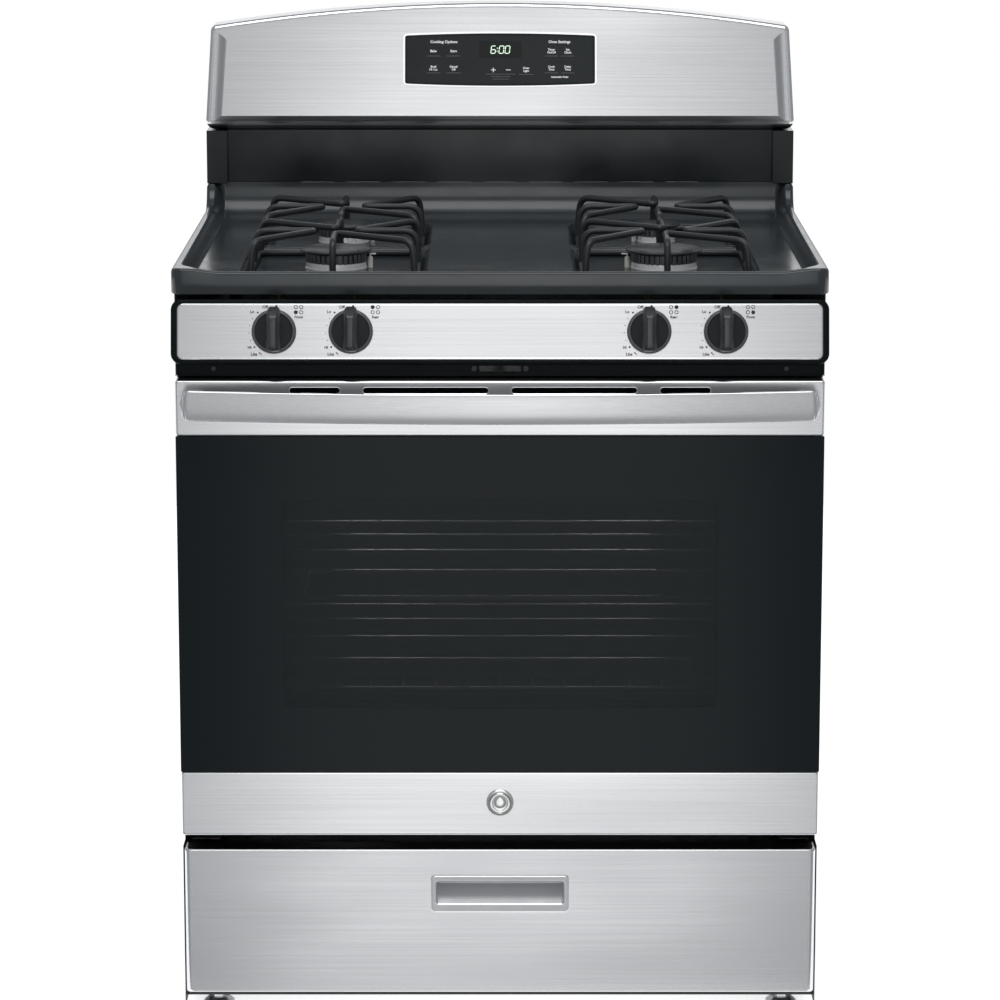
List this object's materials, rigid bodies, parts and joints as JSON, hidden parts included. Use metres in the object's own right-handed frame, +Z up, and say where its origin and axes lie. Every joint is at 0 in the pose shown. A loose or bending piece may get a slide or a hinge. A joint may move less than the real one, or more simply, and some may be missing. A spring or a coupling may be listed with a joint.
{
  "type": "freestanding gas range",
  "caption": "Freestanding gas range: cooktop with burners under lift-off grates, oven with drop-down glass door and sliding racks, storage drawer, and raised backguard with controls.",
  "frame": {"origin": "on the floor, under the middle of the range's overall width and depth", "axes": "+X to the user's right, +Y to the back, +Z up"},
  "size_m": [0.76, 0.72, 1.176],
  "materials": {
    "stainless": "horizontal brushed grain",
    "black_enamel": "glossy vitreous enamel",
    "side_enamel": "satin baked paint",
    "galvanised": "plain zinc-coated sheet",
    "black_glass": "black tempered glass",
    "clear_glass": "clear heat-proof glass",
    "satin_metal": "satin stamped steel",
    "burner_tube": "heat-dulled steel tube",
    "gas_pipe": "black iron pipe",
    "valve_brass": "cast and machined brass",
    "burner_aluminium": "turned aluminium",
    "white_ceramic": "white ceramic",
    "seal_braid": "woven glass-fibre braid",
    "zinc_screw": "bright zinc plating",
    "badge_chrome": "turned chrome rings",
    "roller_nylon": "natural nylon",
    "rack_chrome": "bright nickel plating",
    "grate_enamel": "satin black enamel on steel rod",
    "cap_enamel": "matt black enamel",
    "knob_plastic": "satin black moulded plastic"
  },
  "bodies": {
    "range": {"side_left": "side_enamel", "side_right": "side_enamel", "rear_panel": "galvanised", "base_frame": "side_enamel", "front_frame": "black_enamel", "oven_liner": "black_enamel", "oven_floor": "black_enamel", "oven_lamp": "clear_glass", "bake_burner": "burner_tube", "broil_burner": "burner_tube", "gas_manifold": "gas_pipe", "gas_valves": "valve_brass", "gas_regulator": "gas_pipe", "panel_frame": "black_enamel", "panel_fascia": "stainless", "cooktop": "black_enamel", "burner_heads": "burner_aluminium", "igniters": "white_ceramic", "backguard_body": "black_enamel", "backguard_fascia": "stainless", "backguard_cover": "galvanised", "control_overlay": "black_glass", "drawer_rails": "galvanised", "door_seal": "seal_braid", "fasteners": "zinc_screw"},
    "door": {"door_glass": "black_glass", "door_trim_top": "stainless", "door_trim_bottom": "stainless", "door_badge": "badge_chrome", "door_inner": "black_enamel", "door_window": "clear_glass", "door_handle": "stainless", "door_hinges": "galvanised"},
    "drawer": {"drawer_front": "stainless", "drawer_tray": "galvanised", "drawer_pull": "satin_metal"},
    "rollers_front": {"rollers_front": "roller_nylon"},
    "rollers_rear": {"rollers_rear": "roller_nylon"},
    "rack_lower": {"rack_lower": "rack_chrome"},
    "rack_upper": {"rack_upper": "rack_chrome"},
    "grate_front_left": {"grate_front_left": "grate_enamel"},
    "grate_front_right": {"grate_front_right": "grate_enamel"},
    "grate_rear_right": {"grate_rear_right": "grate_enamel"},
    "grate_rear_left": {"grate_rear_left": "grate_enamel"},
    "cap_front_left": {"cap_front_left": "cap_enamel"},
    "cap_front_right": {"cap_front_right": "cap_enamel"},
    "cap_rear_right": {"cap_rear_right": "cap_enamel"},
    "cap_rear_left": {"cap_rear_left": "cap_enamel"},
    "spindle_1": {"spindle_1": "zinc_screw"},
    "knob_1": {"knob_1": "knob_plastic"},
    "spindle_2": {"spindle_2": "zinc_screw"},
    "knob_2": {"knob_2": "knob_plastic"},
    "spindle_3": {"spindle_3": "zinc_screw"},
    "knob_3": {"knob_3": "knob_plastic"},
    "spindle_4": {"spindle_4": "zinc_screw"},
    "knob_4": {"knob_4": "knob_plastic"},
    "leg_front_left": {"leg_front_left": "zinc_screw"},
    "leg_front_right": {"leg_front_right": "zinc_screw"},
    "leg_rear_right": {"leg_rear_right": "zinc_screw"},
    "leg_rear_left": {"leg_rear_left": "zinc_screw"}
  },
  "joints": [
    {"name": "door_hinge", "type": "hinge", "parent": "range", "child": "door", "pos_m": [0, -0.28, 0.262], "axis": [1, 0, 0], "range_deg": [0, 88], "stiffness_Nm_per_rad": 14, "springref_deg": -20.63},
    {"name": "drawer_slide", "type": "slide", "parent": "range", "child": "drawer", "axis": [0, -1, 0], "range_m": [0, 0.4]},
    {"name": "rack_lower_slide", "type": "slide", "parent": "range", "child": "rack_lower", "axis": [0, -1, 0], "range_m": [0, 0.26]},
    {"name": "rack_upper_slide", "type": "slide", "parent": "range", "child": "rack_upper", "axis": [0, -1, 0], "range_m": [0, 0.31]},
    {"name": "roller_front_spin", "type": "hinge", "parent": "range", "child": "rollers_front", "pos_m": [0, -0.226, 0.1805], "axis": [1, 0, 0], "continuous": true},
    {"name": "roller_rear_spin", "type": "hinge", "parent": "drawer", "child": "rollers_rear", "pos_m": [0, 0.25, 0.1623], "axis": [1, 0, 0], "continuous": true},
    {"name": "grate_front_left_lift", "type": "slide", "parent": "range", "child": "grate_front_left", "axis": [0, 0, 1], "range_m": [0, 0.12]},
    {"name": "grate_front_right_lift", "type": "slide", "parent": "range", "child": "grate_front_right", "axis": [0, 0, 1], "range_m": [0, 0.12]},
    {"name": "grate_rear_right_lift", "type": "slide", "parent": "range", "child": "grate_rear_right", "axis": [0, 0, 1], "range_m": [0, 0.12]},
    {"name": "grate_rear_left_lift", "type": "slide", "parent": "range", "child": "grate_rear_left", "axis": [0, 0, 1], "range_m": [0, 0.12]},
    {"name": "lift_cap_front_left", "type": "slide", "parent": "range", "child": "cap_front_left", "axis": [0, 0, 1], "range_m": [0, 0.01]},
    {"name": "lift_cap_front_right", "type": "slide", "parent": "range", "child": "cap_front_right", "axis": [0, 0, 1], "range_m": [0, 0.01]},
    {"name": "lift_cap_rear_right", "type": "slide", "parent": "range", "child": "cap_rear_right", "axis": [0, 0, 1], "range_m": [0, 0.01]},
    {"name": "lift_cap_rear_left", "type": "slide", "parent": "range", "child": "cap_rear_left", "axis": [0, 0, 1], "range_m": [0, 0.01]},
    {"name": "knob_1_turn", "type": "hinge", "parent": "range", "child": "spindle_1", "pos_m": [-0.2605, -0.2985, 0.84325], "axis": [0, -0.9799, 0.1994], "range_deg": [0, 150]},
    {"name": "knob_1_press", "type": "slide", "parent": "spindle_1", "child": "knob_1", "axis": [0, 0.9799, -0.1994], "range_m": [0, 0.003], "stiffness_N_per_m": 2000, "springref_m": -0.002},
    {"name": "knob_2_turn", "type": "hinge", "parent": "range", "child": "spindle_2", "pos_m": [-0.172, -0.2985, 0.84325], "axis": [0, -0.9799, 0.1994], "range_deg": [0, 150]},
    {"name": "knob_2_press", "type": "slide", "parent": "spindle_2", "child": "knob_2", "axis": [0, 0.9799, -0.1994], "range_m": [0, 0.003], "stiffness_N_per_m": 2000, "springref_m": -0.002},
    {"name": "knob_3_turn", "type": "hinge", "parent": "range", "child": "spindle_3", "pos_m": [0.172, -0.2985, 0.84325], "axis": [0, -0.9799, 0.1994], "range_deg": [0, 150]},
    {"name": "knob_3_press", "type": "slide", "parent": "spindle_3", "child": "knob_3", "axis": [0, 0.9799, -0.1994], "range_m": [0, 0.003], "stiffness_N_per_m": 2000, "springref_m": -0.002},
    {"name": "knob_4_turn", "type": "hinge", "parent": "range", "child": "spindle_4", "pos_m": [0.2605, -0.2985, 0.84325], "axis": [0, -0.9799, 0.1994], "range_deg": [0, 150]},
    {"name": "knob_4_press", "type": "slide", "parent": "spindle_4", "child": "knob_4", "axis": [0, 0.9799, -0.1994], "range_m": [0, 0.003], "stiffness_N_per_m": 2000, "springref_m": -0.002},
    {"name": "leg_front_left_turn", "type": "hinge", "parent": "range", "child": "leg_front_left", "pos_m": [-0.34, -0.23, 0.01], "axis": [0, 0, 1], "continuous": true},
    {"name": "leg_front_right_turn", "type": "hinge", "parent": "range", "child": "leg_front_right", "pos_m": [0.34, -0.23, 0.01], "axis": [0, 0, 1], "continuous": true},
    {"name": "leg_rear_right_turn", "type": "hinge", "parent": "range", "child": "leg_rear_right", "pos_m": [0.34, 0.31, 0.01], "axis": [0, 0, 1], "continuous": true},
    {"name": "leg_rear_left_turn", "type": "hinge", "parent": "range", "child": "leg_rear_left", "pos_m": [-0.34, 0.31, 0.01], "axis": [0, 0, 1], "continuous": true}
  ],
  "couplings": [
    {"joint": "rack_lower_slide", "follows": "door_hinge", "m_per_rad": 0.165},
    {"joint": "rack_upper_slide", "follows": "door_hinge", "m_per_rad": 0.2}
  ]
}
